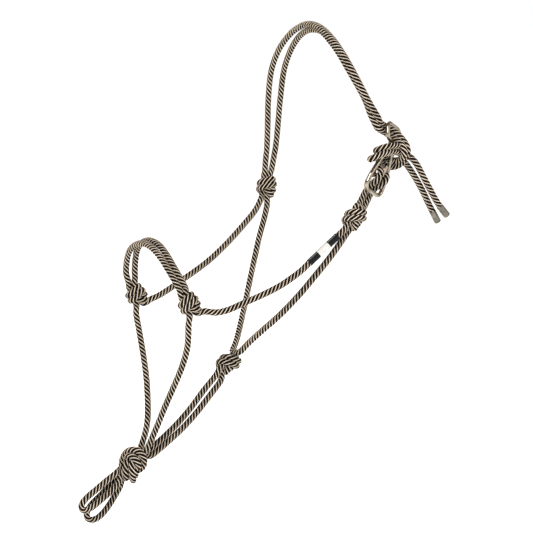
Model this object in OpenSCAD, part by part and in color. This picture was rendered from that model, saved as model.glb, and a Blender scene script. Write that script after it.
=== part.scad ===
// Rope halter: one laid rope knotted into a crown, two cheeks, a double noseband, throat,
// jaw and chin ropes and two lead loops, with a cast buckle on the near side.
// +Z is up, the nose points along -X and the horse's near side is -Y.
// The origin is where the crown crosses the poll.

/* [Rope] */
// Diameter of the laid rope
rope_d = 6.4; // [6:0.1:6.5]
// Sides of each rope's section
rope_sides = 10; // [8:1:12]

/* [Knots] */
// Width of a small knot, across the axis of its ropes
knot_w = 25; // [23:0.5:26]
// Height of a small knot, along the axis of its ropes
knot_h = 21; // [19:0.5:22]
// Width of the chin knot
chin_knot_w = 30; // [28:0.5:31]
// Height of the chin knot
chin_knot_h = 33; // [31:0.5:34]

/* [Buckle] */
// Width of the buckle's base, outside
base_w = 41; // [40:0.5:42]
// Width of the buckle's top eye, outside
eye_w = 35; // [34:0.5:37]
// Height of the top eye, between the middles of its bars
eye_h = 18; // [17.5:0.5:19]
// Height of the neck above the base bar
neck_y = 56; // [55:0.5:57]
// Height of the crossbar above the base bar
cross_y = 18; // [17.5:0.1:18.5]
// Thickness of the bars
bar_d = 5; // [4.5:0.1:5.2]
// Backward tilt of the top eye, in degrees
eye_tilt = 25; // [20:1:28]
// Length of the prong above the crossbar
prong_l = 14; // [12:0.5:15]
// Width of the prong
prong_w = 6.6; // [6:0.1:7]

/* [Trim] */
// Length of each ferrule
ferrule_l = 15; // [12:0.5:18]
// Outer diameter of each ferrule
ferrule_d = 7.6; // [7.2:0.1:8]
// Outer diameter of the label sleeve
sleeve_d = 7.6; // [7.4:0.1:8]
// Length of the blank patch on the sleeve
patch_l = 15; // [12:0.5:18]

/* [Hidden] */
$fn = 32;

cream = [0.80, 0.72, 0.60];
nickel = [0.72, 0.71, 0.69];
bar_r = bar_d / 2;

// ---- places of the knots ----
off_cheek_at = [1, 100, -175];
near_cheek_at = [-3, -100, -192];
off_nose_at = [-185, 60, -283];
near_nose_at = [-180, -60, -277];
throat_at = [-103, 0, -357];
chin_at = [-220, 0, -457];

// ---- the buckle's own frame: x across, y from the base to the eye, z outwards ----
buckle_at = [19, -100, -165];
buckle_turn = [104, 22, 30];

function turn_x(v, a) = [v[0], v[1] * cos(a) - v[2] * sin(a), v[1] * sin(a) + v[2] * cos(a)];
function turn_y(v, a) = [v[0] * cos(a) + v[2] * sin(a), v[1], v[2] * cos(a) - v[0] * sin(a)];
function turn_z(v, a) = [v[0] * cos(a) - v[1] * sin(a), v[0] * sin(a) + v[1] * cos(a), v[2]];
function on_buckle(p) =
    buckle_at + turn_z(turn_y(turn_x(p, buckle_turn[0]), buckle_turn[1]), buckle_turn[2]);
function all_on_buckle(route) = [for (p = route) on_buckle(p)];

// ---- routes: each one starts and ends just inside the knots that it joins ----
crown_outer_route = [
    [-1, 100, -166], [-1, 100, -150], [0, 98, -130], [0, 96, -104], [-2, 91, -74],
    [-4, 81, -42], [-5, 62, -17], [-4, 40, 0], [-3, 20, 9], [-2, 0, 13], [-2, -23, 10],
    [-2, -45, 1], [-2, -65, -12], [0, -81, -28], [5, -92, -46], [13, -99, -66],
    [20, -101, -78], [28, -100, -88]];
crown_inner_route = [
    [6, 99, -166], [8, 99, -150], [11, 97, -130], [13, 95, -104], [12, 88, -74],
    [10, 76, -41], [7, 57, -19], [5, 37, -4], [4, 19, 4], [3, 0, 7], [3, -20, 5],
    [2, -40, -5], [1, -59, -17], [2, -74, -31], [7, -85, -48], [15, -92, -67],
    [19, -95, -81], [23, -98, -91]];
off_cheek_route = [
    [-5, 99, -182], [-10, 97, -192], [-19, 94, -203], [-39, 88, -219], [-64, 80, -237],
    [-92, 72, -254], [-124, 66, -270], [-153, 62, -284], [-166, 60, -288], [-176, 60, -287]];
off_throat_route = [
    [3, 99, -185], [0, 98, -198], [-5, 96, -213], [-13, 92, -231], [-26, 82, -259],
    [-41, 68, -287], [-54, 54, -307], [-68, 38, -325], [-82, 21, -338], [-95, 9, -349]];
near_cheek_route = [
    [-171, -60, -280], [-162, -62, -285], [-152, -66, -287], [-140, -72, -284],
    [-125, -78, -277], [-108, -86, -269], [-88, -92, -259], [-68, -96, -246],
    [-57, -97, -237], [-46, -98, -228], [-35, -99, -219], [-24, -100, -210],
    [-13, -101, -201], [-10, -101, -198]];
near_throat_route = [
    [-96, -8, -348], [-89, -20, -333], [-82, -40, -316], [-72, -62, -296], [-59, -80, -273],
    [-46, -90, -253], [-31, -95, -234], [-17, -96, -217], [-6, -95, -204], [-3, -95, -201]];
nose_front_route = [
    [-189, 60, -274], [-197, 60, -262], [-198, 58, -247], [-199, 48, -232], [-198, 33, -223],
    [-196, 16, -220], [-195, -2, -223], [-194, -20, -231], [-193, -36, -242],
    [-190, -49, -255], [-185, -57, -269]];
nose_rear_route = [
    [-182, 60, -274], [-187, 60, -262], [-188, 57, -247], [-190, 47, -231], [-191, 32, -221],
    [-190, 14, -217], [-188, -4, -220], [-187, -21, -229], [-186, -37, -241],
    [-183, -50, -255], [-178, -57, -268]];
off_chin_route = [
    [-187, 60, -291], [-186, 60, -304], [-184, 57, -322], [-183, 50, -345], [-184, 40, -369],
    [-188, 28, -392], [-194, 16, -414], [-201, 10, -431], [-208, 8, -444]];
near_chin_route = [
    [-182, -60, -286], [-181, -59, -303], [-180, -54, -324], [-182, -45, -346],
    [-186, -34, -368], [-191, -22, -392], [-197, -13, -416], [-203, -9, -433],
    [-208, -8, -443]];
jaw_front_route = [
    [-112, 0, -364], [-122, 0, -373], [-134, 0, -385], [-150, 0, -403], [-167, 0, -419],
    [-185, 0, -433], [-200, 0, -443], [-208, 0, -449]];
jaw_rear_route = [
    [-106, 0, -368], [-114, 0, -378], [-127, 0, -392], [-144, 0, -410], [-161, 0, -425],
    [-179, 0, -438], [-197, 0, -450], [-206, 0, -456]];
lead_front_route = [
    [-241, -4, -463], [-251, -4, -469], [-263, -4, -477], [-275, -4, -485], [-282, -4, -492],
    [-281, -4, -499], [-272, -4, -498], [-259, -4, -490], [-246, -4, -481], [-238, -4, -474]];
lead_rear_route = [
    [-237, 4, -472], [-246, 4, -479], [-257, 4, -488], [-268, 4, -497], [-273, 4, -505],
    [-271, 4, -512], [-262, 4, -513], [-251, 4, -505], [-240, 4, -491], [-232, 4, -479]];
tail_upper_route = [
    [67, -98, -128], [72, -101, -133], [78, -103, -143], [84, -104, -154], [91, -104, -165],
    [98, -104, -176], [104, -104, -184]];
tail_lower_route = [
    [63, -95, -134], [68, -94, -139], [75, -94, -148], [82, -94, -158], [89, -94, -169],
    [95, -94, -180], [101, -94, -190]];
tail_upper_end = [114, -104, -195];
tail_lower_end = [109, -94, -203];

// ---- routes in the buckle's frame ----
loop_line = [
    [-4.5, -26, -6.2], [-0.5, -21.5, -8.6], [2, -16, -10], [3.4, -6, -10], [2.2, 0, -9],
    [0, 5, -5.6], [-4.5, 9.5, -0.8], [-7.2, 14, 4.8], [-7.4, 20, 6.2], [-6.9, 25.5, 2.6],
    [-5, 28.6, -2.2], [0, 30, -4.2], [5, 28.6, -2.2], [6.9, 25.5, 2.6], [7.4, 20, 6.2],
    [7.2, 14, 4.8], [7.6, 9.5, -0.2], [9.2, 5, -4.8], [11.4, 0, -7.8], [11.2, -8, -7.8],
    [9.6, -14.5, -7.2], [6.6, -20.5, -6.2], [-1, -28, -3.8]];
hitch_outer_line = [
    [-20, 70.5, -14.5], [-13, 71, -13], [-7, 71, -9.5], [-1.5, 70, -4], [4, 66.5, 4.5],
    [9, 60, 13], [15, 52, 13.5], [22, 41, 5.5], [21, 35, -4], [11, 35, -8.2], [0, 36, -8.6],
    [-12, 34, -8.2], [-22.5, 29, -5], [-25, 31.5, -0.5], [-18, 39.8, 4], [-7, 46.5, 6.3],
    [1, 49.5, 6.9], [9, 51, 6.9], [16.5, 51, 6.7], [22, 49, 6.3]];
hitch_inner_line = [
    [-20, 63.8, -12.5], [-13, 64.2, -10], [-7, 64, -7], [-2, 63.5, -2.4], [1.5, 61.5, 5.8],
    [3.5, 55.5, 13.8], [9, 49.5, 13.8], [16.5, 44.5, 5], [18, 42, -4], [11, 42, -8.2],
    [0, 43, -8.6], [-11, 42, -8.2], [-18.5, 41, -5], [-20, 44.5, 0.5], [-15, 50, 4.6],
    [-7.5, 53.5, 6.4], [0, 56.5, 6.9], [9, 58, 6.9], [17, 57.6, 6.7], [24, 55, 6.3]];

// ---- smooth curves and tubes ----
function curve_point(a, b, c, d, t) =
    0.5 * (2 * b + (c - a) * t + (2 * a - 5 * b + 4 * c - d) * t * t
    + (3 * b - a - 3 * c + d) * t * t * t);
// a smooth curve through the route, with the given number of steps from point to point
function smooth(route, steps) =
    let (last = len(route) - 1, first_out = 2 * route[0] - route[1],
        last_out = 2 * route[last] - route[last - 1])
    [for (i = [0:last - 1], k = [0:steps - 1])
        curve_point(i == 0 ? first_out : route[i - 1], route[i], route[i + 1],
            i == last - 1 ? last_out : route[i + 2], k / steps),
     route[last]];
function unit(v) = v / norm(v);
function heading(p, i) = unit(p[min(i + 1, len(p) - 1)] - p[max(i - 1, 0)]);
// a normal for each ring, carried along the curve so that the tube doesn't twist
function square_to(n, t) = unit(n - (n * t) * t);
function normals(p, i, n) =
    i >= len(p) ? [] : let (m = square_to(n, heading(p, i))) concat([m], normals(p, i + 1, m));
module tube(p, d = rope_d, sides = rope_sides) {
    start = abs(heading(p, 0)[1]) < 0.8 ? [0, 1, 0] : [0, 0, 1];
    n = normals(p, 0, start);
    rings = len(p);
    points = [for (i = [0:rings - 1], k = [0:sides - 1])
        let (t = heading(p, i), b = cross(t, n[i]), a = 360 * k / sides)
        p[i] + d / 2 * (cos(a) * n[i] + sin(a) * b)];
    walls = [for (i = [0:rings - 2], k = [0:sides - 1])
        let (a = i * sides + k, b = i * sides + (k + 1) % sides)
        [a, a + sides, b + sides, b]];
    first = [for (k = [0:sides - 1]) k];
    last = [for (k = [0:sides - 1]) rings * sides - 1 - k];
    polyhedron(points, concat([first], walls, [last]), convexity = 6);
}
module rope(route, steps = 2) color(cream) tube(smooth(route, steps));

// ---- knots: a core with two slanted turns of doubled rope ----
module turn_pair(w) {
    for (side = [-1, 1])
        translate([0, 0, side * rope_d * 0.45])
            rotate_extrude() translate([w / 2 - rope_d / 2, 0]) circle(d = rope_d);
}
module small_knot(at, turn) {
    color(cream) translate(at) rotate(turn) {
        scale([1, 1, knot_h / (knot_w - 2)]) sphere(d = knot_w - 2);
        rotate([0, 24, 0]) turn_pair(knot_w);
    }
}
module chin_ball() {
    color(cream) translate(chin_at) rotate([0, -126, 0]) {
        scale([1, 1, chin_knot_h / (chin_knot_w - 2)]) sphere(d = chin_knot_w - 2);
        for (side = [-1, 1])
            rotate([side * 28, 0, 0]) turn_pair(chin_knot_w);
    }
}

// ---- the buckle ----
module in_buckle() translate(buckle_at) rotate(buckle_turn) children();
module bar(a, b, d = bar_d) {
    tube([a, b], d, 12);
}
foot_x = base_w / 2 - bar_r;
eye_x = eye_w / 2 - bar_r;
neck_x = 3.4;
leg_y = 14;
corner = 5;
function arc(cx, cy, r, from, to, steps) =
    [for (k = [0:steps]) let (a = from + (to - from) * k / steps)
        [cx + r * cos(a), cy + r * sin(a), 0]];
// the middle line of the A: up the left leg's foot, round the base and up to the neck
a_frame_line = concat(
    [[neck_x, neck_y, 0], [foot_x, leg_y, -1.2]],
    arc(foot_x - corner, corner, corner, 10, -90, 5),
    arc(corner - foot_x, corner, corner, -90, -190, 5),
    [[-foot_x, leg_y, -1.2], [-neck_x, neck_y, 0]]);
eye_corner = 6;
eye_line = concat(
    [[3, 0, 0]],
    arc(eye_x - eye_corner, eye_corner, eye_corner, -90, 0, 4),
    arc(eye_x - eye_corner, eye_h - eye_corner, eye_corner, 0, 90, 4),
    arc(eye_corner - eye_x, eye_h - eye_corner, eye_corner, 90, 180, 4),
    arc(eye_corner - eye_x, eye_corner, eye_corner, 180, 270, 4),
    [[-3, 0, 0]]);
module buckle() {
    color(nickel) in_buckle() {
        tube(a_frame_line, bar_d, 10);
        bar([-leg_x(cross_y), cross_y, 0], [leg_x(cross_y), cross_y, 0]);
        translate([0, neck_y + 3, 0]) rotate([-eye_tilt, 0, 0]) tube(eye_line, bar_d, 10);
        neck();
        prong();
    }
}
// half the distance between the legs at a height above the base bar
function leg_x(y) = foot_x - (foot_x - neck_x) * (y - leg_y) / (neck_y - leg_y);
module neck() {
    translate([0, neck_y - 1, -bar_r * 0.8])
        linear_extrude(bar_d * 0.8) polygon([[-5, -6], [5, -6], [6, 6.5], [-6, 6.5]]);
}
module prong() {
    rise = 2.6;
    translate([0, cross_y, rise]) rotate([4, 0, 0]) linear_extrude(3.2) {
        translate([-prong_w / 2, 0]) square([prong_w, prong_l - prong_w / 2]);
        translate([0, prong_l - prong_w / 2]) circle(d = prong_w);
    }
    translate([-prong_w / 2, cross_y - 2, 0]) cube([prong_w, 4, rise + 2.6]);
}

// ---- ferrules, sleeve and patch ----
module along(a, b) {
    d = b - a;
    translate(a) rotate([0, acos(d[2] / norm(d)), atan2(d[1], d[0])]) children();
}
module ferrule(route, end) {
    a = route[len(route) - 1];
    color(nickel) along(a, end) difference() {
        cylinder(d = ferrule_d, h = ferrule_l);
        translate([0, 0, ferrule_l - 1]) cylinder(d = ferrule_d - 1.6, h = 2);
    }
}
sleeve_from = near_cheek_route[8];
sleeve_to = near_cheek_route[11];
sleeve_l = norm(sleeve_to - sleeve_from);
module label_sleeve() {
    color([0.1, 0.1, 0.1]) along(sleeve_from, sleeve_to) difference() {
        cylinder(d = sleeve_d, h = sleeve_l);
        translate([0, 0, -1]) cylinder(d = rope_d + 0.2, h = sleeve_l + 2);
    }
}
module label_patch() {
    color([0.93, 0.93, 0.92]) along(sleeve_from, sleeve_to)
        translate([0, 0, sleeve_l * 0.5 - patch_l / 2]) rotate([0, 0, -130])
            rotate_extrude(angle = 130) translate([sleeve_d / 2, 0]) square([0.4, patch_l]);
}

rope(crown_outer_route);  // crown_rope_outer
rope(crown_inner_route);  // crown_rope_inner
small_knot(off_cheek_at, [0, 0, 20]);  // off_cheek_knot
rope(off_cheek_route);  // off_cheek_rope
rope(off_throat_route);  // off_throat_rope
small_knot(off_nose_at, [0, 20, 20]);  // off_nose_knot
rope(nose_front_route);  // noseband_rope_front
rope(nose_rear_route);  // noseband_rope_rear
small_knot(near_nose_at, [0, 20, -20]);  // near_nose_knot
rope(near_cheek_route);  // near_cheek_rope
label_sleeve();
label_patch();
small_knot(near_cheek_at, [0, 30, 0]);  // near_cheek_knot
rope(near_throat_route);  // near_throat_rope
small_knot(throat_at, [0, 45, 0]);  // throat_knot
rope(jaw_front_route);  // jaw_rope_front
rope(jaw_rear_route);  // jaw_rope_rear
rope(off_chin_route);  // off_chin_rope
rope(near_chin_route);  // near_chin_rope
chin_ball();  // chin_knot
rope(all_on_buckle(loop_line));  // buckle_loop
buckle();
rope(all_on_buckle(hitch_outer_line));  // hitch_rope_outer
rope(all_on_buckle(hitch_inner_line));  // hitch_rope_inner
rope(tail_upper_route);  // tail_rope_upper
rope(tail_lower_route);  // tail_rope_lower
ferrule(tail_upper_route, tail_upper_end);  // ferrule_upper
ferrule(tail_lower_route, tail_lower_end);  // ferrule_lower
rope(lead_front_route);  // lead_loop_front
rope(lead_rear_route);  // lead_loop_rear
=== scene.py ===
"""A rope halter: laid cream and black rope, six knots of relaxed strands, a cast nickel buckle,
two ferrules, a sleeve with a blank patch, and two lead loops under the chin.
Routes and sizes are in millimetres until a mesh is made; +Z is up and the nose is at -X."""
import itertools
import math

import bpy
import numpy as np
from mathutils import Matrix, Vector


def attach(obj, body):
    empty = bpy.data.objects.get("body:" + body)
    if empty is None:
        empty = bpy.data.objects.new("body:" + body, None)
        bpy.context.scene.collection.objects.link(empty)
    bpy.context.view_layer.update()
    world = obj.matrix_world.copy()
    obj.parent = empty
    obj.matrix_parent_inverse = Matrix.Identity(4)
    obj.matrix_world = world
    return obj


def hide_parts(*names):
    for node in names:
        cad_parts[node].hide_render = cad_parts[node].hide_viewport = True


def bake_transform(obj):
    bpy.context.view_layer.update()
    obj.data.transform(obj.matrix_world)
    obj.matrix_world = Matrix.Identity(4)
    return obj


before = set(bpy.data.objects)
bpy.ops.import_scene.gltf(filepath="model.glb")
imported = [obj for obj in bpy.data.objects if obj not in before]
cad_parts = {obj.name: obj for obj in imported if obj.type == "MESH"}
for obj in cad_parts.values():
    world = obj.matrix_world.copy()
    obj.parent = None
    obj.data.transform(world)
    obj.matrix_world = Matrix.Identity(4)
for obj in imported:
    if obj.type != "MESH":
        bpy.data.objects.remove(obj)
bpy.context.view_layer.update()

MM = 0.001

# ---------------------------------------------------------------- camera
CAMERA_AT = Vector((-1.0201, -1.7415, 0.0272))
CAMERA_TO = Vector((-0.0599, -0.0093, -0.2512))
cam = bpy.data.objects.new("camera", bpy.data.cameras.new("camera"))
cam.data.sensor_width = 36
cam.data.lens = 122.8
cam.location = CAMERA_AT
cam.rotation_euler = (CAMERA_TO - CAMERA_AT).to_track_quat("-Z", "Y").to_euler()
bpy.context.scene.collection.objects.link(cam)
bpy.context.scene.camera = cam
bpy.context.scene.view_settings.view_transform = "Standard"

# ---------------------------------------------------------------- routes, in millimetres
BUCKLE_AT = np.array([19, -100, -165])
BUCKLE_TURN = np.radians([104, 22, 30])


def turned(angles):
    """The rotation about x, then y, then z, as a matrix."""
    (cx, cy, cz), (sx, sy, sz) = np.cos(angles), np.sin(angles)
    rx = np.array([[1, 0, 0], [0, cx, -sx], [0, sx, cx]])
    ry = np.array([[cy, 0, sy], [0, 1, 0], [-sy, 0, cy]])
    rz = np.array([[cz, -sz, 0], [sz, cz, 0], [0, 0, 1]])
    return rz @ ry @ rx


BUCKLE_AXES = turned(BUCKLE_TURN)


def on_buckle(points):
    """Points of the buckle's own frame, in the frame of the halter, in millimetres."""
    return BUCKLE_AT + np.array(points, float) @ BUCKLE_AXES.T


ROUTES = {
    "crown_rope_outer": [
        (-1, 100, -166), (-1, 100, -150), (0, 98, -130), (0, 96, -104), (-2, 91, -74),
        (-4, 81, -42), (-5, 62, -17), (-4, 40, 0), (-3, 20, 9), (-2, 0, 13), (-2, -23, 10),
        (-2, -45, 1), (-2, -65, -12), (0, -81, -28), (5, -92, -46), (13, -99, -66),
        (20, -101, -78), (28, -100, -88)],
    "crown_rope_inner": [
        (6, 99, -166), (8, 99, -150), (11, 97, -130), (13, 95, -104), (12, 88, -74),
        (10, 76, -41), (7, 57, -19), (5, 37, -4), (4, 19, 4), (3, 0, 7), (3, -20, 5),
        (2, -40, -5), (1, -59, -17), (2, -74, -31), (7, -85, -48), (15, -92, -67),
        (19, -95, -81), (23, -98, -91)],
    "off_cheek_rope": [
        (-5, 99, -182), (-10, 97, -192), (-19, 94, -203), (-39, 88, -219), (-64, 80, -237),
        (-92, 72, -254), (-124, 66, -270), (-153, 62, -284), (-166, 60, -288), (-176, 60, -287)],
    "off_throat_rope": [
        (3, 99, -185), (0, 98, -198), (-5, 96, -213), (-13, 92, -231), (-26, 82, -259),
        (-41, 68, -287), (-54, 54, -307), (-68, 38, -325), (-82, 21, -338), (-95, 9, -349)],
    "near_cheek_rope": [
        (-171, -60, -280), (-162, -62, -285), (-152, -66, -287), (-140, -72, -284),
        (-125, -78, -277), (-108, -86, -269), (-88, -92, -259), (-68, -96, -246),
        (-57, -97, -237), (-46, -98, -228), (-35, -99, -219), (-24, -100, -210),
        (-13, -101, -201), (-10, -101, -198)],
    "near_throat_rope": [
        (-96, -8, -348), (-89, -20, -333), (-82, -40, -316), (-72, -62, -296), (-59, -80, -273),
        (-46, -90, -253), (-31, -95, -234), (-17, -96, -217), (-6, -95, -204), (-3, -95, -201)],
    "noseband_rope_front": [
        (-189, 60, -274), (-197, 60, -262), (-198, 58, -247), (-199, 48, -232), (-198, 33, -223),
        (-196, 16, -220), (-195, -2, -223), (-194, -20, -231), (-193, -36, -242),
        (-190, -49, -255), (-185, -57, -269)],
    "noseband_rope_rear": [
        (-182, 60, -274), (-187, 60, -262), (-188, 57, -247), (-190, 47, -231), (-191, 32, -221),
        (-190, 14, -217), (-188, -4, -220), (-187, -21, -229), (-186, -37, -241),
        (-183, -50, -255), (-178, -57, -268)],
    "off_chin_rope": [
        (-187, 60, -291), (-186, 60, -304), (-184, 57, -322), (-183, 50, -345), (-184, 40, -369),
        (-188, 28, -392), (-194, 16, -414), (-201, 10, -431), (-208, 8, -444)],
    "near_chin_rope": [
        (-182, -60, -286), (-181, -59, -303), (-180, -54, -324), (-182, -45, -346),
        (-186, -34, -368), (-191, -22, -392), (-197, -13, -416), (-203, -9, -433),
        (-208, -8, -443)],
    "jaw_rope_front": [
        (-112, 0, -364), (-122, 0, -373), (-134, 0, -385), (-150, 0, -403), (-167, 0, -419),
        (-185, 0, -433), (-200, 0, -443), (-208, 0, -449)],
    "jaw_rope_rear": [
        (-106, 0, -368), (-114, 0, -378), (-127, 0, -392), (-144, 0, -410), (-161, 0, -425),
        (-179, 0, -438), (-197, 0, -450), (-206, 0, -456)],
    "lead_loop_front": [
        (-241, -4, -463), (-251, -4, -469), (-263, -4, -477), (-275, -4, -485), (-282, -4, -492),
        (-281, -4, -499), (-272, -4, -498), (-259, -4, -490), (-246, -4, -481), (-238, -4, -474)],
    "lead_loop_rear": [
        (-237, 4, -472), (-246, 4, -479), (-257, 4, -488), (-268, 4, -497), (-273, 4, -505),
        (-271, 4, -512), (-262, 4, -513), (-251, 4, -505), (-240, 4, -491), (-232, 4, -479)],
    "tail_rope_upper": [
        (67, -98, -128), (72, -101, -133), (78, -103, -143), (84, -104, -154), (91, -104, -165),
        (98, -104, -176), (104, -104, -184)],
    "tail_rope_lower": [
        (63, -95, -134), (68, -94, -139), (75, -94, -148), (82, -94, -158), (89, -94, -169),
        (95, -94, -180), (101, -94, -190)],
    "buckle_loop": on_buckle([
        (-4.5, -26, -6.2), (-0.5, -21.5, -8.6), (2, -16, -10), (3.4, -6, -10), (2.2, 0, -9),
        (0, 5, -5.6), (-4.5, 9.5, -0.8), (-7.2, 14, 4.8), (-7.4, 20, 6.2), (-6.9, 25.5, 2.6),
        (-5, 28.6, -2.2), (0, 30, -4.2), (5, 28.6, -2.2), (6.9, 25.5, 2.6), (7.4, 20, 6.2),
        (7.2, 14, 4.8), (7.6, 9.5, -0.2), (9.2, 5, -4.8), (11.4, 0, -7.8), (11.2, -8, -7.8),
        (9.6, -14.5, -7.2), (6.6, -20.5, -6.2), (-1, -28, -3.8)]),
    "hitch_rope_outer": on_buckle([
        (-20, 70.5, -14.5), (-13, 71, -13), (-7, 71, -9.5), (-1.5, 70, -4), (4, 66.5, 4.5),
        (9, 60, 13), (15, 52, 13.5), (22, 41, 5.5), (21, 35, -4), (11, 35, -8.2), (0, 36, -8.6),
        (-12, 34, -8.2), (-22.5, 29, -5), (-25, 31.5, -0.5), (-18, 39.8, 4), (-7, 46.5, 6.3),
        (1, 49.5, 6.9), (9, 51, 6.9), (16.5, 51, 6.7), (22, 49, 6.3)]),
    "hitch_rope_inner": on_buckle([
        (-20, 63.8, -12.5), (-13, 64.2, -10), (-7, 64, -7), (-2, 63.5, -2.4), (1.5, 61.5, 5.8),
        (3.5, 55.5, 13.8), (9, 49.5, 13.8), (16.5, 44.5, 5), (18, 42, -4), (11, 42, -8.2),
        (0, 43, -8.6), (-11, 42, -8.2), (-18.5, 41, -5), (-20, 44.5, 0.5), (-15, 50, 4.6),
        (-7.5, 53.5, 6.4), (0, 56.5, 6.9), (9, 58, 6.9), (17, 57.6, 6.7), (24, 55, 6.3)]),
}
TAIL_ENDS = {"upper": (114, -104, -195), "lower": (109, -94, -203)}

# knot: where it is, the way its doubled rope leaves, and how it is rolled towards the viewer
KNOTS = {
    "off_cheek_knot": ((1, 100, -175), (0.1, 0, 1), 185),
    "near_cheek_knot": ((-3, -100, -192), (0.436, -0.028, 0.9), 215),
    "off_nose_knot": ((-185, 60, -283), (-0.42, 0, 0.91), 180),
    "near_nose_knot": ((-180, -60, -277), (-0.42, 0.1, 0.9), 185),
    "throat_knot": ((-103, 0, -357), (-0.7, 0, -0.7), 315),
    "chin_knot": ((-220, 0, -457), (-0.81, 0, -0.59), 45),
}
# from the halter towards the main camera: the side of each knot that was drawn to be seen
VIEWER = np.array([-0.4801, -0.8661, 0.1392])

# ---------------------------------------------------------------- the rope's make-up, in mm
ROPE_D = 7.2          # over the crests of the yarns; about 6.7 on average
PITCH = 19.0          # length of one turn of the lay
LOBES = 8             # yarns that show around the rope, cream and black by turns
PAIR = 12             # points of the section over one cream and one black yarn
CREAM_SHARE = 4       # of those, the cream yarn's
SIDES = LOBES // 2 * PAIR
GROOVE = 0.7          # depth between two yarns
RING_STEP = 1.0       # from one ring of points to the next along the rope
SMALL_KEEP = 13       # half the length of a small knot along its axis
CHIN_KEEP = 17        # and of the chin knot
RUN_GAP = 5           # free length over which a run settles into its knot
KNOT_REACH = 30       # a run that ends this near a knot's middle goes into it
OPENING = 0.62        # radians left out of the trefoil's turn, where the rope comes and goes
TREFOIL_POINTS = 121
PIN_STEP = 1.2        # from one pinned point of a strand to the next
JOIN_STEP = 0.7       # between the points of a join
EASE = 60             # points that a closed rope is overlapped by while it is eased


def lengths(p):
    """The distance along the line of each of its points."""
    return np.concatenate([[0], np.cumsum(np.linalg.norm(np.diff(p, axis=0), axis=1))])


def resample(p, n):
    """The same line as n points, evenly apart."""
    s = lengths(p)
    t = np.linspace(0, s[-1], n)
    return np.stack([np.interp(t, s, p[:, k]) for k in range(3)], 1)


def unit(v):
    v = np.asarray(v, float)
    return v / np.linalg.norm(v)


def smooth_route(route, steps=10):
    """The same smooth curve through the route's points as part.scad draws."""
    p = np.array(route, float)
    p = np.concatenate([[2 * p[0] - p[1]], p, [2 * p[-1] - p[-2]]])
    t = np.linspace(0, 1, steps, endpoint=False)[:, None]
    out = []
    for a, b, c, d in zip(p, p[1:], p[2:], p[3:]):
        out.append(0.5 * (2 * b + (c - a) * t + (2 * a - 5 * b + 4 * c - d) * t ** 2
                          + (3 * b - a - 3 * c + d) * t ** 3))
    return np.concatenate(out + [p[-2:-1]])


# ---------------------------------------------------------------- knots: strands drawn tight
def trefoil(scale, reach, n):
    """The middle line of an overhand knot, with its axis along x."""
    t = np.linspace(OPENING - np.pi, np.pi - OPENING, TREFOIL_POINTS)
    p = np.stack([np.sin(t) + 2 * np.sin(2 * t), np.cos(t) - 2 * np.cos(2 * t) + 0.35,
                  -1.2 * np.sin(3 * t)], 1) * scale
    lead = np.array([[reach, 0, 0], [reach * 0.8, 0, 0],
                     [p[0][0] + scale * 1.6, p[0][1] + scale * 0.3, 0]])
    return resample(np.concatenate([lead, p, lead[::-1] * [-1, 1, 1]]), n)


def bundle(line, d, offsets, turns):
    """Strands side by side along the line, given a part turn about each other."""
    t = np.gradient(line, axis=0)
    t /= np.linalg.norm(t, axis=1)[:, None]
    side = np.stack([-t[:, 1], t[:, 0], 0 * t[:, 0]], 1)
    side /= np.linalg.norm(side, axis=1)[:, None] + 1e-9
    across = np.cross(t, side)
    a = 2 * np.pi * turns * np.clip((np.linspace(-1, 1, len(line)) * 1.4 + 1) / 2, 0, 1)
    return np.stack([
        line + ((u * np.cos(a) - v * np.sin(a))[:, None] * side
                + (u * np.sin(a) + v * np.cos(a))[:, None] * across) * d
        for u, v in offsets])


def relax(strands, steps, pins, d):
    """Pulls the strands straight while they keep a diameter apart, so that the knot draws tight."""
    x = strands.copy()
    k, n = x.shape[:2]
    who = np.repeat(np.arange(k), n)
    idx = np.tile(np.arange(n), k)
    middle = np.clip(np.minimum(np.arange(n), n - 1 - np.arange(n)) / (n * 0.25), 0, 1)
    for step in range(steps):
        x[:, 1:-1] += 0.5 * ((x[:, :-2] + x[:, 2:]) / 2 - x[:, 1:-1])
        if step % 4 == 0:
            x = np.stack([resample(s, n) for s in x])
            x -= middle[None, :, None] * x[:, n // 4:-n // 4].mean((0, 1)) * 0.3
        x[:, :3], x[:, -3:] = pins
        seg = np.linalg.norm(np.diff(x, axis=1), axis=2).mean()
        near = max(3, int(1.5 * d / seg))
        free = (who[:, None] != who[None]) | (abs(idx[:, None] - idx[None]) > near)
        for _ in range(2):
            flat = x.reshape(-1, 3)
            sq = (flat ** 2).sum(1)
            i, j = np.nonzero(free & (sq[:, None] + sq[None] - 2 * flat @ flat.T < d * d))
            apart = flat[i] - flat[j]
            length = np.sqrt((apart ** 2).sum(1)) + 1e-9
            push = np.zeros_like(flat)
            np.add.at(push, i, apart * ((d - length) / length * 0.5)[:, None])
            push /= np.maximum(1, np.bincount(i, minlength=len(flat)) * 0.7)[:, None]
            x = (flat + push).reshape(k, n, 3)
            x[:, :3], x[:, -3:] = pins
    return x


def pinned_ends(reach, start, end):
    """The three points that stay put at each end of every strand."""
    first = np.stack([[[reach - PIN_STEP * i, *yz] for i in range(3)] for yz in start])
    last = np.stack([[[-reach + PIN_STEP * (2 - i), *yz] for i in range(3)] for yz in end])
    return first, last


def small_knot_strands():
    """A doubled overhand knot: two strands."""
    d, reach = 6.0, 26
    s = bundle(trefoil(5.6, reach, 84), d, [(0.52, 0), (-0.52, 0)], -0.5)
    start = [unit(a[3][1:]) * 0.51 * d for a in s]
    end = [unit(a[-4][1:]) * 0.51 * d for a in s]
    return relax(s, 1500, pinned_ends(reach, start, end), d)


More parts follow.
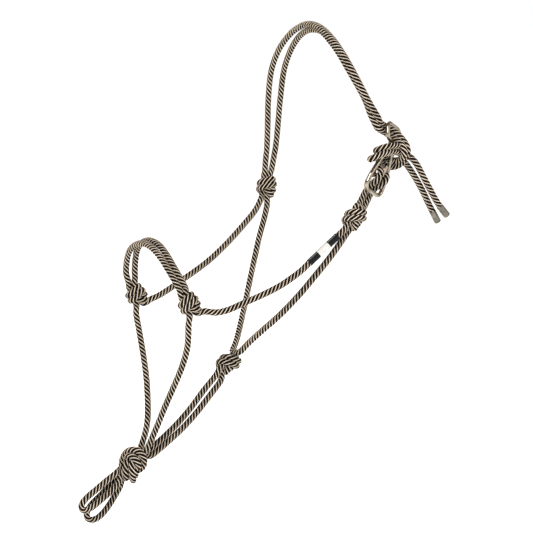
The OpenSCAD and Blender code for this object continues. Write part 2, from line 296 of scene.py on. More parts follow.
def chin_knot_strands():
    """A large knot of four strands."""
    d, reach = 5.3, 34
    square = [(0.52, 0.52), (-0.52, 0.52), (-0.52, -0.52), (0.52, -0.52)]
    s = bundle(trefoil(6.8, reach, 90), d, square, -0.5)
    return relax(s, 900, pinned_ends(reach, s[:, 3, 1:] * 0.98, s[:, -4, 1:] * 0.98), d)


def placed(strand, at, axis, roll):
    """A strand of the drawn knot, turned along its axis and rolled towards the viewer."""
    a = unit(axis)
    w = unit(VIEWER - (VIEWER @ a) * a)
    u = np.cross(a, w)
    c, s = math.cos(math.radians(roll)), math.sin(math.radians(roll))
    return np.array(at) + strand @ np.stack([a, s * w - c * u, c * w + s * u])


def between(strand, keep):
    """The part of a drawn strand from its first way in to its last way out."""
    first = np.argmax(strand[:, 0] < keep)
    last = len(strand) - np.argmax(strand[::-1, 0] > -keep)
    return strand[first:last]


def join(a, b):
    """A smooth curve from the end of a to the start of b."""
    p, q = a[-1], b[0]
    reach = np.linalg.norm(q - p)
    t0, t1 = unit(a[-1] - a[-4]) * reach * 1.2, unit(b[3] - b[0]) * reach * 1.2
    n = max(3, int(reach / JOIN_STEP))
    t = np.linspace(0, 1, n + 1)[1:-1, None]
    return ((2 * t ** 3 - 3 * t ** 2 + 1) * p + (t ** 3 - 2 * t ** 2 + t) * t0
            + (3 * t ** 2 - 2 * t ** 3) * q + (t ** 3 - t ** 2) * t1)


def knot_near(tip):
    """The nearest knot to a run's tip, or none if it is out of reach."""
    knot = min(KNOTS, key=lambda k: np.linalg.norm(tip - np.array(KNOTS[k][0])))
    return knot if np.linalg.norm(tip - np.array(KNOTS[knot][0])) < KNOT_REACH else None


small, chin = small_knot_strands(), chin_knot_strands()
elements = {}          # name: (CAD node, points)
loose = []             # run ends that meet no knot
link = {}              # each end of an element, and the end that it goes on to
knot_ends = {k: {1: [], -1: []} for k in KNOTS}
# each run is cut short of its knots, and its ends are sorted by the side that they enter
for key, route in ROUTES.items():
    p = smooth_route(route)
    for end in (0, 1):
        tip = p[-end]
        knot = knot_near(tip)
        if knot is None:
            loose.append((key, end))
            continue
        at, axis, _ = KNOTS[knot]
        side = 1 if (tip - np.array(at)) @ unit(axis) > 0 else -1
        clear = (CHIN_KEEP if knot == "chin_knot" else SMALL_KEEP) + RUN_GAP
        far = np.linalg.norm(p - np.array(at), axis=1) > clear
        p = p[np.argmax(far):] if end == 0 else p[:len(far) - np.argmax(far[::-1])]
        knot_ends[knot][side].append((key, end))
    elements[key] = (key, p)
# each knot's strands are put in place and linked to the runs that their tips are nearest to
for knot, (at, axis, roll) in KNOTS.items():
    drawn, keep = (chin, CHIN_KEEP) if knot == "chin_knot" else (small, SMALL_KEEP)
    names = [f"{knot}.{i}" for i in range(len(drawn))]
    for name, strand in zip(names, drawn):
        elements[name] = (knot, placed(between(strand, keep), at, axis, roll))
    for side, ends in knot_ends[knot].items():
        strand_end = 0 if side == 1 else 1
        tips = [elements[n][1][-strand_end] for n in names]
        runs = [elements[n][1][-e] for n, e in ends]
        best = min(itertools.permutations(range(len(ends))), key=lambda order: sum(
            np.linalg.norm(tips[i] - runs[j]) ** 2 for i, j in enumerate(order)))
        for name, j in zip(names, best):
            link[(name, strand_end)], link[ends[j]] = ends[j], (name, strand_end)
# the crown's ropes go on round the buckle and hang as the tails
for thread, tail in (("inner", "tail_rope_upper"), ("outer", "tail_rope_lower")):
    crown, hitch = f"crown_rope_{thread}", f"hitch_rope_{thread}"
    for a, b in ((crown, hitch), (hitch, tail)):
        link[(a, 1)], link[(b, 0)] = (b, 0), (a, 1)


def walk(start, end):
    """Elements in order along one rope, from an end that it leaves by."""
    order, at, way = [], start, end
    while True:
        order.append((at, way))
        following = link.get((at, way))
        if following is None or following[0] == start:
            return order, following is not None
        at, way = following[0], 1 - following[1]


def assembled(order, closed):
    """One rope's middle line, with the node that each of its points belongs to."""
    pieces = [elements[n][1] if way == 1 else elements[n][1][::-1] for n, way in order]
    owners = [elements[n][0] for n, _ in order]
    parts, tags = [], []
    if closed:
        parts.append(join(pieces[-1], pieces[0]))
        tags += [owners[0]] * len(parts[0])
    for i, (p, owner) in enumerate(zip(pieces, owners)):
        parts.append(p)
        tags += [owner] * len(p)
        if i + 1 < len(pieces):
            q = join(p, pieces[i + 1])
            parts.append(q)
            tags += [owners[i + 1] if "knot" in owner else owner] * len(q)
    if closed:
        parts.append(parts[0][:1])
        tags.append(owners[-1])
    return np.concatenate(parts), tags


def eased(p, closed, rounds=24):
    """Takes the last small kinks out of an evenly spaced line."""
    q = np.concatenate([p[-EASE - 1:-1], p, p[1:EASE + 1]]) if closed else p.copy()
    for _ in range(rounds):
        q[1:-1] += 0.25 * (q[:-2] + q[2:] - 2 * q[1:-1])
    return q[EASE:-EASE] if closed else q


def yarn_place(k):
    """How many yarns round the rope a point of its section is: whole numbers lie in grooves."""
    at = k % PAIR
    cream, black = at / CREAM_SHARE, 1 + (at - CREAM_SHARE) / (PAIR - CREAM_SHARE)
    return 2 * (k // PAIR) + np.where(at < CREAM_SHARE, cream, black)


def rings_along(p, closed):
    """Each ring of the laid rope: its points, square to the line and turning with the lay."""
    t = np.gradient(p, axis=0)
    if closed:
        t[0] = t[-1] = p[1] - p[-2]
    t /= np.linalg.norm(t, axis=1)[:, None]
    n = np.zeros_like(p)
    n[0] = unit(np.cross(t[0], (0.3, 0.5, 0.8)))
    for i in range(1, len(p)):
        v = n[i - 1] - (n[i - 1] @ t[i]) * t[i]
        n[i] = v / np.linalg.norm(v)
    b = np.cross(t, n)
    s = lengths(p)
    angle = -2 * np.pi * s / PITCH
    if closed:
        turn = math.atan2(n[-1] @ b[0], n[-1] @ n[0])
        miss = (turn + angle[-1]) % (4 * np.pi / LOBES)
        angle -= s / s[-1] * (miss if miss < 2 * np.pi / LOBES else miss - 4 * np.pi / LOBES)
    k = np.arange(SIDES)
    crest = np.sin(np.pi * (yarn_place(k) % 1)) ** 0.6
    radius = ROPE_D / 2 - GROOVE * (1 - crest)
    a = angle[:, None] + 2 * np.pi * k / SIDES
    return (p[:, None] + (np.cos(a) * radius)[..., None] * n[:, None]
            + (np.sin(a) * radius)[..., None] * b[:, None])


strands_of = {}        # CAD node: [(rings, middle line, distance along the rope)]
done = set()
# ropes with loose ends first, then the closed ones
starts = [(n, 1 - e) for n, e in loose if (n, e) not in link] + [(n, 1) for n in ROUTES]
for start, way in starts:
    if start in done:
        continue
    order, closed = walk(start, way)
    done.update(n for n, _ in order)
    line, tags = assembled(order, closed)
    old = lengths(line)
    count = int(round(old[-1] / RING_STEP)) + 1
    even = eased(resample(line, count), closed)
    labels = np.array(tags)[np.minimum(np.searchsorted(old, np.linspace(0, old[-1], count)),
                                       len(tags) - 1)]
    rings = rings_along(even, closed)
    along = lengths(even)
    cuts = [0] + [i for i in range(1, count) if labels[i] != labels[i - 1]] + [count - 1]
    for a, b in zip(cuts, cuts[1:]):
        strands_of.setdefault(str(labels[a]), []).append(
            (rings[a:b + 1], even[a:b + 1], along[a:b + 1]))


# ---------------------------------------------------------------- materials
def material(name, rough, metallic=0.0, sheen=0.0, gloss=0.5):
    mat = bpy.data.materials.new(name)
    mat.use_nodes = True
    shader = mat.node_tree.nodes["Principled BSDF"]
    shader.inputs["Roughness"].default_value = rough
    shader.inputs["Metallic"].default_value = metallic
    shader.inputs["Specular IOR Level"].default_value = gloss
    if sheen:
        shader.inputs["Sheen Weight"].default_value = sheen
        shader.inputs["Sheen Roughness"].default_value = 0.5
    return mat, mat.node_tree, shader


def node(tree, kind, inputs=(), **settings):
    n = tree.nodes.new(kind)
    for key, value in settings.items():
        setattr(n, key, value)
    for key, value in dict(inputs).items():
        if isinstance(value, bpy.types.NodeSocket):
            tree.links.new(value, n.inputs[key])
        else:
            n.inputs[key].default_value = value
    return n


def maths(tree, operation, a, b=0.0, c=0.0):
    return node(tree, "ShaderNodeMath", {0: a, 1: b, 2: c}, operation=operation).outputs[0]


def colour_ramp(tree, value, stops):
    ramp = node(tree, "ShaderNodeValToRGB", {0: value})
    while len(ramp.color_ramp.elements) < len(stops):
        ramp.color_ramp.elements.new(0.5)
    for element, (place, colour) in zip(ramp.color_ramp.elements, stops):
        element.position, element.color = place, (*colour, 1)
    return ramp.outputs["Color"]


def noise(tree, vector, scale, detail=3.0, rough=0.55):
    return node(tree, "ShaderNodeTexNoise", {
        "Vector": vector, "Scale": scale, "Detail": detail, "Roughness": rough}).outputs[0]


def stretched(tree, vector, scale):
    return node(tree, "ShaderNodeMapping", {"Vector": vector, "Scale": scale}).outputs[0]


def yarn_material(name, dark, middle, light, rough, sheen):
    """One yarn of the lay: fine filaments along it, a slight twist, and painted shade in the
    grooves.
    """
    mat, tree, shader = material(name, rough, sheen=sheen, gloss=0.12)
    lay = node(tree, "ShaderNodeUVMap", uv_map="lay").outputs[0]
    split = node(tree, "ShaderNodeSeparateXYZ", {0: lay})
    u, v = split.outputs[0], split.outputs[1]
    filaments = noise(tree, stretched(tree, lay, (7.0, 0.5, 1.0)), 1.0, 4.0)
    twist = maths(tree, "SINE", maths(tree, "MULTIPLY_ADD", v, 5.2,
                                      maths(tree, "MULTIPLY", u, 9.0)))
    # painted shade: each yarn's colour is darkened towards its edges, where it dips into the
    # grooves
    within = maths(tree, "SUBTRACT", maths(tree, "FRACT", u), 0.5)
    from_middle = maths(tree, "MULTIPLY", maths(tree, "ABSOLUTE", within), 2.0)
    edge = maths(tree, "POWER", from_middle, 2.4)
    place = node(tree, "ShaderNodeTexCoord").outputs["Object"]
    patches = noise(tree, place, 55.0, 2.0)
    tone = maths(tree, "ADD", maths(tree, "MULTIPLY", filaments, 0.62),
                 maths(tree, "MULTIPLY", patches, 0.38))
    tone = maths(tree, "MULTIPLY_ADD", twist, 0.05, tone)
    tone = maths(tree, "SUBTRACT", tone, maths(tree, "MULTIPLY", edge, 0.5))
    colour = colour_ramp(tree, tone, [(0.12, dark), (0.42, middle), (0.72, light)])
    tree.links.new(colour, shader.inputs["Base Color"])
    height = maths(tree, "MULTIPLY_ADD", twist, 0.16, filaments)
    bump = node(tree, "ShaderNodeBump", {"Height": height, "Strength": 0.55,
                                         "Distance": 0.18 * MM})
    tree.links.new(bump.outputs[0], shader.inputs["Normal"])
    return mat


def linear(r, g, b):
    """A colour from its usual 0 to 255 numbers to what the shader takes."""
    return tuple((c / 255 / 12.92) if c < 10.3 else ((c / 255 + 0.055) / 1.055) ** 2.4
                 for c in (r, g, b))


CREAM = yarn_material("yarn_cream", linear(98, 84, 68), linear(204, 187, 165),
                      linear(246, 235, 219), 0.85, 0.04)
BLACK = yarn_material("yarn_black", linear(1, 1, 1), linear(7, 5, 4),
                      linear(20, 15, 12), 0.85, 0.0)


def metal_material(name, dark, light, rough_low, rough_high, wave=0.10):
    """Worn metal: patchy colour, uneven polish and a fine ripple."""
    mat, tree, shader = material(name, rough_low, metallic=1.0)
    place = node(tree, "ShaderNodeTexCoord").outputs["Object"]
    tone = noise(tree, place, 140.0, 4.0)
    colour = colour_ramp(tree, tone, [(0.3, dark), (0.7, light)])
    tree.links.new(colour, shader.inputs["Base Color"])
    speckle = noise(tree, place, 420.0, 3.0)
    rough = node(tree, "ShaderNodeMapRange", {"Value": speckle, "From Min": 0.35, "From Max": 0.7,
                                              "To Min": rough_low, "To Max": rough_high})
    tree.links.new(rough.outputs[0], shader.inputs["Roughness"])
    ripple = maths(tree, "ADD", noise(tree, place, 160.0, 2.0),
                   maths(tree, "MULTIPLY", noise(tree, place, 1100.0, 2.0), 0.25))
    bump = node(tree, "ShaderNodeBump", {"Height": ripple, "Strength": wave, "Distance": 0.5 * MM})
    tree.links.new(bump.outputs[0], shader.inputs["Normal"])
    return mat


NICKEL = metal_material("cast_nickel", linear(118, 107, 90), linear(170, 159, 142), 0.12, 0.24)
STEEL = metal_material("crimped_metal", linear(82, 77, 69), linear(132, 126, 115), 0.24, 0.4, 0.3)


def woven_material(name, dark, light, rough, across, along, depth):
    """Close weave: warp and weft in millimetres of the piece's own lay coordinates."""
    mat, tree, shader = material(name, rough, sheen=0.03, gloss=0.2)
    lay = node(tree, "ShaderNodeUVMap", uv_map="lay").outputs[0]
    split = node(tree, "ShaderNodeSeparateXYZ", {0: lay})
    warp = maths(tree, "SINE", maths(tree, "MULTIPLY", split.outputs[0], across))
    weft = maths(tree, "SINE", maths(tree, "MULTIPLY", split.outputs[1], along))
    weave = maths(tree, "MULTIPLY_ADD", maths(tree, "MULTIPLY", warp, weft), 0.5, 0.5)
    grain = noise(tree, stretched(tree, lay, (2.5, 0.7, 1.0)), 1.0, 3.0)
    tone = maths(tree, "MULTIPLY_ADD", weave, 0.45, maths(tree, "MULTIPLY", grain, 0.55))
    colour = colour_ramp(tree, tone, [(0.2, dark), (0.75, light)])
    tree.links.new(colour, shader.inputs["Base Color"])
    bump = node(tree, "ShaderNodeBump", {"Height": tone, "Strength": 0.5, "Distance": depth * MM})
    tree.links.new(bump.outputs[0], shader.inputs["Normal"])
    return mat


WEBBING = woven_material("black_webbing", linear(2, 2, 2), linear(15, 15, 16), 0.72, 7.0, 5.2,
                         0.16)
LABEL = woven_material("blank_label", linear(176, 174, 168), linear(226, 224, 218), 0.6, 9.0, 9.0,
                       0.05)
THREAD = woven_material("hem_thread", linear(120, 116, 108), linear(196, 190, 180), 0.7, 6.0, 6.0,
                        0.06)


# ---------------------------------------------------------------- mesh helpers
def new_mesh(name, verts, faces, mats, face_mats=None, smooth=True, sharp=(), uvs=()):
    """A mesh object; uvs are (layer name, one pair for each face corner)."""
    mesh = bpy.data.meshes.new(name)
    mesh.from_pydata((np.asarray(verts) * MM).tolist(), [], faces)
    for m in mats:
        mesh.materials.append(m)
    mesh.polygons.foreach_set("use_smooth", np.full(len(mesh.polygons), smooth))
    if face_mats is not None:
        mesh.polygons.foreach_set("material_index", np.asarray(face_mats, np.int32))
    for layer, values in uvs:
        uv = mesh.uv_layers.new(name=layer)
        uv.data.foreach_set("uv", np.asarray(values, np.float32).ravel())
    if len(sharp):
        marks = {tuple(sorted(e)) for e in sharp}
        mesh.update()
        for e in mesh.edges:
            if tuple(sorted(e.vertices)) in marks:
                e.use_edge_sharp = True
    mesh.update()
    obj = bpy.data.objects.new(name, mesh)
    bpy.context.scene.collection.objects.link(obj)
    return obj


def rope_mesh(name, strands):
    """One piece of laid rope, of one or more strands, with its yarns in two materials.
    Its OFBake layer is the rope's skin cut into columns side by side."""
    girth = np.pi * ROPE_D
    total = sum(s[-1] - s[0] for _, _, s in strands)
    tall = math.sqrt(total * (girth + 1)) * 1.02
    verts, faces, mats, lay, bake, sharp = [], [], [], [], [], []
    column, caps, base = 0, 0, 0
    k = np.arange(SIDES)
    k1 = (k + 1) % SIDES
    for rings, _, s in strands:
        m = len(rings)
        verts.append(rings.reshape(-1, 3))
        i = np.arange(m - 1)[:, None]
        quads = np.stack([base + i * SIDES + k, base + i * SIDES + k1,
                          base + (i + 1) * SIDES + k1, base + (i + 1) * SIDES + k], -1)
        faces += quads.reshape(-1, 4).tolist()
        mats += np.tile((k % PAIR >= CREAM_SHARE).astype(int), m - 1).tolist()
        corner_u = np.stack([k, k + 1, k + 1, k], -1)[None] + 0 * i[..., None]
        low, high = s[:-1, None], s[1:, None]
        corner_v = np.stack([low, low, high, high], -1) + 0 * corner_u
        lay.append(np.stack([yarn_place(corner_u), corner_v], -1).reshape(-1, 2))
        way = s - s[0]
        col = (way[:-1] // tall).astype(int)
        start = np.array([way[:-1][col == c].min() for c in range(col.max() + 1)])[col]
        bake_u = corner_u / SIDES * girth + (column + col)[:, None, None] * (girth + 1)
        bake_v = corner_v - s[0] - start[:, None, None]
        bake.append(np.stack([bake_u, bake_v], -1).reshape(-1, 2))
        column += col.max() + 1
        for ring, flip in ((0, True), (m - 1, False)):
            loop = (base + ring * SIDES + k).tolist()
            sharp += list(zip(loop, loop[1:] + loop[:1]))
            faces.append(loop[::-1] if flip else loop)
            mats.append(0)
            a = 2 * np.pi * k / SIDES
            disc = np.stack([np.cos(a), np.sin(a)], -1)
            lay.append(disc + (0, s[ring]))
            bake.append(disc + (2 + 3 * caps, tall + 4))
            caps += 1
        base += m * SIDES
    across = max(column * (girth + 1), 3 * caps + 4, tall + 6)
    bake = np.concatenate(bake) / across * 0.996 + 0.002
    return new_mesh(name, np.concatenate(verts), faces, [CREAM, BLACK], mats, True, sharp,
                    [("OFBake", bake), ("lay", np.concatenate(lay))])


# ---------------------------------------------------------------- rope pieces
rope = {}
for key, strands in strands_of.items():
    rope[key] = rope_mesh(f"{key}_laid", strands)
    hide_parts(key)

ON_BUCKLE = ("hitch_rope_outer", "hitch_rope_inner")
LEAD_BEND = (-234.6, 0, -467.6), (-249.1, 0, -478.2)
# the body before the bend, the body after it, and where the bend starts and ends; the tails are
# given from their free end to the buckle, the order in which they stay on their ferrules
BLENDS = {
    "crown_rope_outer": ("halter", "buckle", (5, -92, -46), (11.6, -114.1, -51.5)),
    "crown_rope_inner": ("halter", "buckle", (7, -85, -48), (13.6, -107.1, -53.5)),
    "buckle_loop": ("halter", "buckle", on_buckle((0, -22, 0)), on_buckle((0, -2, 0))),
    "tail_rope_upper": ("tail_upper", "buckle", (73.7, -98, -138), (67, -98, -128)),
    "tail_rope_lower": ("tail_lower", "buckle", (69.7, -95, -144), (63, -95, -134)),
    "lead_loop_front": ("halter", "lead_loops", *LEAD_BEND),
    "lead_loop_rear": ("halter", "lead_loops", *LEAD_BEND),
}
for key, piece in rope.items():
    if key in BLENDS:
        a, b, start, end = BLENDS[key]
        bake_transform(piece)
    else:
        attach(piece, "buckle" if key in ON_BUCKLE else "halter")


# ---------------------------------------------------------------- buckle
def section_sweep(points, wide, thick, up, square=2.6, sides=20, closed=False):
    """A bar along the points: wide in the plane, thick along up, with a rounded section."""
    p = np.array(points, float)
    n = len(p)
    wide, thick = np.broadcast_to(wide, n), np.broadcast_to(thick, n)
    if closed:
        t = np.roll(p, -1, 0) - np.roll(p, 1, 0)
    else:
        t = np.gradient(p, axis=0)
    t /= np.linalg.norm(t, axis=1)[:, None]
    side = np.cross(np.broadcast_to(up, (n, 3)), t)
    side /= np.linalg.norm(side, axis=1)[:, None]
    top = np.cross(t, side)
    a = 2 * np.pi * np.arange(sides) / sides
    cx = np.sign(np.cos(a)) * np.abs(np.cos(a)) ** (2 / square)
    cy = np.sign(np.sin(a)) * np.abs(np.sin(a)) ** (2 / square)
    rings = (p[:, None] + (cx * wide[:, None] / 2)[..., None] * side[:, None]
             + (cy * thick[:, None] / 2)[..., None] * top[:, None])
    faces = []
    for i in range(n if closed else n - 1):
        j = (i + 1) % n
        faces += [(i * sides + k, i * sides + (k + 1) % sides,
                   j * sides + (k + 1) % sides, j * sides + k) for k in range(sides)]
    if not closed:
        faces += [tuple(range(sides))[::-1],
                  tuple((n - 1) * sides + k for k in range(sides))]
    return rings.reshape(-1, 3), faces


def plate(outline, low, high):
    """A flat plate with the given outline, from height low to high."""
    o = np.array(outline, float)
    n = len(o)
    verts = np.concatenate([np.c_[o, np.full(n, low)], np.c_[o, np.full(n, high)]])
    faces = [tuple(range(n))[::-1], tuple(range(n, 2 * n))]
    faces += [(k, (k + 1) % n, n + (k + 1) % n, n + k) for k in range(n)]
    return verts, faces


def arc(cx, cy, r, a, b, steps=10):
    """Points round a circle from angle a to angle b, in degrees."""
    t = np.radians(np.linspace(a, b, steps))
    return [(cx + r * x, cy + r * y) for x, y in zip(np.cos(t), np.sin(t))]


def flat(points, z=0.0):
    return [(x, y, z) for x, y in points]


def cast(name, solids, mat, voxel, rounds):
    """Solids run together, as metal is in a mould, with soft fillets where they meet."""
    verts, faces, base = [], [], 0
    for v, f in solids:
        verts.append(np.asarray(v))
        faces += [tuple(i + base for i in face) for face in f]
        base += len(v)
    rough = new_mesh(f"{name}_rough", np.concatenate(verts), faces, [mat])
    mod = rough.modifiers.new("run", "REMESH")
    mod.mode, mod.voxel_size, mod.adaptivity = "VOXEL", voxel * MM, 0.0
    soft = rough.modifiers.new("soft", "SMOOTH")
    soft.factor, soft.iterations = 0.5, rounds
    bpy.context.view_layer.update()
    final = bpy.data.meshes.new_from_object(
        rough.evaluated_get(bpy.context.evaluated_depsgraph_get()))
    old = rough.data
    bpy.data.objects.remove(rough)
    bpy.data.meshes.remove(old)
    final.name = name
    final.materials.clear()
    final.materials.append(mat)
    final.polygons.foreach_set("use_smooth", np.full(len(final.polygons), True))
    obj = bpy.data.objects.new(name, final)
    bpy.context.scene.collection.objects.link(obj)
    return obj


# in the buckle's own frame: x across, y from the base bar to the eye, z towards the prong's side
UP = (0, 0, 1)
BASE_HALF, FOOT_R, LEG_Y, NECK_Y, NECK_HALF = 17.9, 7.2, 13.0, 57.0, 3.9
CROSS_MID, CROSS_END, CROSS_HALF = 18.6, 14.6, 16.5
EYE_HALF, EYE_R, EYE_H, EYE_TILT = 14.9, 6.4, 18.0, math.radians(-25)


def leg_half(y):
    """Half the distance between the legs of the A at a height above the base bar."""
    return BASE_HALF - (BASE_HALF - NECK_HALF) * (y - LEG_Y) / (NECK_Y - LEG_Y)


frame_line = (
    [(leg_half(y), y) for y in (57, 48, 39, 30, 22, 16)]
    + arc(BASE_HALF - FOOT_R, FOOT_R, FOOT_R, 14, -90)
    + [(x, 0) for x in (6, 2, -2, -6)]
    + arc(FOOT_R - BASE_HALF, FOOT_R, FOOT_R, -90, -194)
    + [(-leg_half(y), y) for y in (16, 22, 30, 39, 48, 57)])
cross_line = [(x, CROSS_MID - (CROSS_MID - CROSS_END) * (x / CROSS_HALF) ** 2, 0)
              for x in np.linspace(-CROSS_HALF, CROSS_HALF, 15)]
eye_flat = (arc(EYE_HALF - EYE_R, EYE_R, EYE_R, -90, 0)
            + arc(EYE_HALF - EYE_R, EYE_H - EYE_R, EYE_R, 0, 90)
            + arc(EYE_R - EYE_HALF, EYE_H - EYE_R, EYE_R, 90, 180)
            + arc(EYE_R - EYE_HALF, EYE_R, EYE_R, 180, 270))
tilt = turned(np.array([EYE_TILT, 0, 0]))
eye_up = tilt @ np.array(UP)
eye_line = np.array([0, 59, 0]) + np.array(flat(eye_flat)) @ tilt.T
prong_line = [(0, 15.6, 0.2), (0, 17.2, 1.6), (0, 19.5, 2.9), (0, 22.5, 3.6), (0, 26, 4.1),
              (0, 29, 4.4), (0, 31, 4.55), (0, 32.3, 4.6), (0, 32.9, 4.6)]
neck_right = [(4.2, 46), (6.4, 51), (6.9, 54.5), (8.2, 57.5), (11.5, 60)]
neck_plate = [(-4.2, 46)] + neck_right + [(-x, y) for x, y in neck_right[:0:-1]]
web_right = [(16.6, 12.5), (15.0, 21.5), (12.4, 25.5), (11.2, 20.4), (8.2, 18.2), (12.6, 14.4)]
web_left = [(-x, y) for x, y in web_right[::-1]]
solids = [
    section_sweep(flat(frame_line), 4.8, 4.8, UP),
    section_sweep(cross_line, 4.7, 4.6, UP),
    section_sweep(eye_line, 4.8, 4.8, eye_up, closed=True),
    section_sweep(prong_line, [9.4, 9.0, 8.4, 7.8, 7.2, 6.6, 5.6, 3.8, 1.6],
                  [4, 4.2, 3.9, 3.6, 3.4, 3.2, 2.9, 2.2, 1.0], UP),
    plate(neck_plate, -1.9, 1.9),
    plate(web_left, -1.8, 1.8),
    plate(web_right, -1.8, 1.8),
]
solids = [(on_buckle(v), f) for v, f in solids]
CAST_VOXEL, CAST_ROUNDS = 0.42, 10
buckle = cast("buckle_cast", solids, NICKEL, CAST_VOXEL, CAST_ROUNDS)
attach(buckle, "buckle")
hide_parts("buckle")


# ---------------------------------------------------------------- turned pieces on the rope
def frame_along(a, b):
    """The way from a to b, the way towards the viewer square to it, and the third axis."""
    t = unit(np.array(b, float) - np.array(a, float))
    x = unit(VIEWER - (VIEWER @ t) * t)
    return t, x, np.cross(t, x)


def revolved(name, at, axes, profile, mats, squash=1.0, sides=64, span=(0, 360), shape=None,
             face_mats=None):
    """A closed shell round an axis. profile is (distance along, radius) round its section;
    shape(angle, along) scales the radius."""
    t, x, y = axes
    prof = np.array(profile, float)
    m = len(prof)
    full = span[1] - span[0] >= 360
    n = sides if full else sides + 1
    a = np.radians(span[0] + (span[1] - span[0]) * np.arange(n) / sides)
    r = prof[None, :, 1] * np.ones((n, 1))
    if shape:
        r = r * shape(a[:, None], prof[None, :, 0])
    verts = (np.array(at, float) + prof[None, :, 0, None] * t
             + (r * np.cos(a)[:, None] * squash)[..., None] * x
             + (r * np.sin(a)[:, None])[..., None] * y)
    faces, lay, idx = [], [], []
    sweep = lengths(np.c_[prof, 0 * prof[:, 0]])
    closing = np.linalg.norm(prof[-1] - prof[0])
    girth = prof[:, 1].max() * 2 * np.pi / sides
    for i in range(n if full else n - 1):
        j = (i + 1) % n
        for k in range(m):
            after = (k + 1) % m
            faces.append((i * m + k, j * m + k, j * m + after, i * m + after))
            top = sweep[after] if after else sweep[-1] + closing
            lay += [(i * girth, sweep[k]), ((i + 1) * girth, sweep[k]),
                    ((i + 1) * girth, top), (i * girth, top)]
            idx.append(face_mats[k] if face_mats else 0)
    if not full:
        for ring, flip in ((0, False), (n - 1, True)):
            loop = [ring * m + k for k in range(m)]
            faces.append(tuple(loop[::-1] if flip else loop))
            lay += [(prof[v % m, 0], prof[v % m, 1]) for v in faces[-1]]
            idx.append(0)
    return new_mesh(name, verts.reshape(-1, 3), faces, mats, idx, True, (), [("lay", lay)])


CRIMPS_AT, CRIMP_WIDTH = (3.6, 9.6), 1.1


def crimp(angle, along):
    """Shallow flats pressed into a ferrule near its ends."""
    bite = sum(np.exp(-((along - at) / CRIMP_WIDTH) ** 2) for at in CRIMPS_AT)
    return 1 - 0.035 * bite * (0.55 + 0.45 * np.cos(6 * angle))


for key, end in TAIL_ENDS.items():
    start = ROUTES[f"tail_rope_{key}"][-1]
    axes = frame_along(start, end)
    profile = ([(0.0, 3.1), (0.0, 3.5), (0.35, 3.75)]
               + [(x, 3.8) for x in np.linspace(0.8, 13.8, 40)]
               + [(14.5, 3.72), (14.9, 3.4), (14.95, 3.1), (14.7, 2.9), (13.9, 2.85), (13.6, 2.4),
                  (13.5, 1.2), (13.5, 0.15), (12.9, 0.1), (12.8, 2.6), (0.5, 2.9)])
    ferrule = revolved(f"ferrule_{key}_crimped", start, axes, profile, [STEEL], shape=crimp)
    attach(ferrule, f"tail_{key}")
    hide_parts(f"ferrule_{key}")
    rope[f"ferrule_{key}"] = ferrule

SLEEVE = [np.array(ROUTES["near_cheek_rope"][i], float) for i in (8, 11)]
SLEEVE_L = np.linalg.norm(SLEEVE[1] - SLEEVE[0])
PATCH_L = 15
axes = frame_along(*SLEEVE)
SLEEVE_IN, SLEEVE_OUT = 3.2, 3.85


def seam_ridge(angle, along):
    """A sewn edge that stands slightly proud along the back of the sleeve."""
    return 1 + 0.05 * np.exp(-((np.degrees(angle) % 360 - 118) / 7) ** 2)


profile = ([(0.1, SLEEVE_IN), (0.0, SLEEVE_OUT - 0.12), (0.35, SLEEVE_OUT + 0.1),
            (1.6, SLEEVE_OUT + 0.12), (2.0, SLEEVE_OUT - 0.04)]
           + [(x, SLEEVE_OUT) for x in np.linspace(3, SLEEVE_L - 3, 30)]
           + [(SLEEVE_L - 2.0, SLEEVE_OUT - 0.04), (SLEEVE_L - 1.6, SLEEVE_OUT + 0.12),
              (SLEEVE_L - 0.35, SLEEVE_OUT + 0.1), (SLEEVE_L, SLEEVE_OUT - 0.12),
              (SLEEVE_L - 0.1, SLEEVE_IN)])
sleeve = revolved("label_sleeve_woven", SLEEVE[0], axes, profile, [WEBBING], shape=seam_ridge)
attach(sleeve, "halter")
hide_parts("label_sleeve")
# a line of short stitches along the sleeve, left out where the patch is
STITCHES, STITCH_AT, STITCH_HALF = 21, math.radians(-38), 0.72
STITCH_RINGS, STITCH_SIDES = 7, 10
HEM = 2.6             # from the sleeve's end to the first stitch's middle
verts, faces = [], []
t, x, y = axes
out = math.cos(STITCH_AT) * x + math.sin(STITCH_AT) * y
across = np.cross(t, out)
ends = np.linspace(-STITCH_HALF, STITCH_HALF, STITCH_RINGS)
rise = SLEEVE_OUT + 0.2 * (1 - (ends / STITCH_HALF) ** 4)
thick = 0.16 + 0.1 * (1 - (ends / STITCH_HALF) ** 2)
a = 2 * np.pi * np.arange(STITCH_SIDES) / STITCH_SIDES
for i in range(STITCHES):
    middle = HEM + (SLEEVE_L - 2 * HEM) * i / (STITCHES - 1)
    if abs(middle - SLEEVE_L / 2) < PATCH_L / 2 + 0.8:
        continue
    bow = SLEEVE[0] + (middle + ends)[:, None] * t + rise[:, None] * out
    rings = bow[:, None] + thick[:, None, None] * (
        np.cos(a)[:, None] * out + np.sin(a)[:, None] * across)
    first = len(verts)
    last = first + (STITCH_RINGS - 1) * STITCH_SIDES
    verts += rings.reshape(-1, 3).tolist()
    for low in range(first, last, STITCH_SIDES):
        high = low + STITCH_SIDES
        for k in range(STITCH_SIDES):
            k1 = (k + 1) % STITCH_SIDES
            faces.append((low + k, low + k1, high + k1, high + k))
    faces += [tuple(first + k for k in range(STITCH_SIDES))[::-1],
              tuple(last + k for k in range(STITCH_SIDES))]
lay = [((v % STITCH_SIDES) * 0.3, v // STITCH_SIDES * 0.4) for f in faces for v in f]
seam = new_mesh("label_sleeve_seam", verts, faces, [THREAD], uvs=[("lay", lay)])
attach(seam, "halter")
low = (SLEEVE_L - PATCH_L) / 2
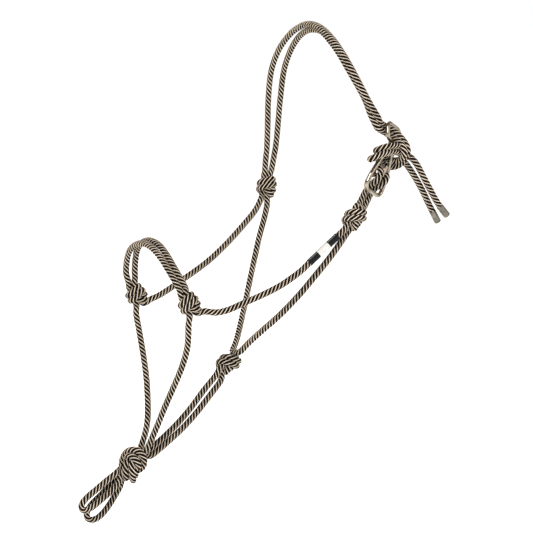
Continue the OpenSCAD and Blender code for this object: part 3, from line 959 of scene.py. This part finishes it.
profile = ([(low, SLEEVE_OUT - 0.05), (low + 0.05, SLEEVE_OUT + 0.22),
            (low + 0.4, SLEEVE_OUT + 0.32)]
           + [(low + PATCH_L * part, SLEEVE_OUT + 0.3) for part in (0.25, 0.5, 0.75)]
           + [(low + PATCH_L - 0.4, SLEEVE_OUT + 0.32), (low + PATCH_L - 0.05, SLEEVE_OUT + 0.22),
              (low + PATCH_L, SLEEVE_OUT - 0.05)])
patch = revolved("label_patch_woven", SLEEVE[0], axes, profile, [LABEL], span=(-58, 66), sides=48)
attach(patch, "halter")
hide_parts("label_patch")

# ---------------------------------------------------------------- rope middle lines in metres, and the kind of each end
for key, piece in rope.items():
    if key not in ROUTES:
        continue
    path = strands_of[key][0][1] * MM
    end = "object"
    if key.startswith("tail"):
        end = "fitting"
        if np.linalg.norm(path[0] - np.array(ROUTES[key][0]) * MM) > 20 * MM:
            path = path[::-1]

# ---------------------------------------------------------------- stage and light
FLOOR_Z = -0.56
bpy.ops.mesh.primitive_plane_add(size=90, location=(0, 0, FLOOR_Z))
floor = bpy.context.active_object
floor.name = "floor"
pale, _, shader = material("pale_floor", 0.9)
shader.inputs["Base Color"].default_value = (0.92, 0.92, 0.92, 1)
shader.inputs["Emission Color"].default_value = (1, 1, 1, 1)
shader.inputs["Emission Strength"].default_value = 0.7
floor.data.materials.append(pale)

world = bpy.data.worlds.new("studio")
bpy.context.scene.world = world
world.use_nodes = True
tree = world.node_tree
direction = node(tree, "ShaderNodeTexCoord").outputs["Generated"]
height = node(tree, "ShaderNodeSeparateXYZ", {0: direction}).outputs[2]
sky = colour_ramp(tree, maths(tree, "MULTIPLY_ADD", height, 0.5, 0.5), [
    (0.0, (1, 1, 1)), (0.60, (1, 1, 1)), (0.64, (0.09, 0.065, 0.04)), (0.77, (0.07, 0.05, 0.03)),
    (0.82, (1, 1, 1)), (0.88, (1, 1, 1)), (0.94, (0.12, 0.10, 0.07))])
tree.links.new(sky, tree.nodes["Background"].inputs["Color"])
tree.nodes["Background"].inputs["Strength"].default_value = 1.0


def area_light(name, at, to, size, power):
    light = bpy.data.lights.new(name, "AREA")
    light.shape, light.size, light.energy = "DISK", size, power
    obj = bpy.data.objects.new(name, light)
    obj.location = at
    obj.rotation_euler = (Vector(to) - Vector(at)).to_track_quat("-Z", "Y").to_euler()
    bpy.context.scene.collection.objects.link(obj)


MIDDLE = (-0.07, 0, -0.25)
area_light("key", (-1.5, -1.2, 1.3), MIDDLE, 1.0, 40)
area_light("fill", (1.3, -1.6, 0.5), MIDDLE, 1.2, 14)
area_light("back", (0.4, 1.8, 1.0), MIDDLE, 1.2, 11)
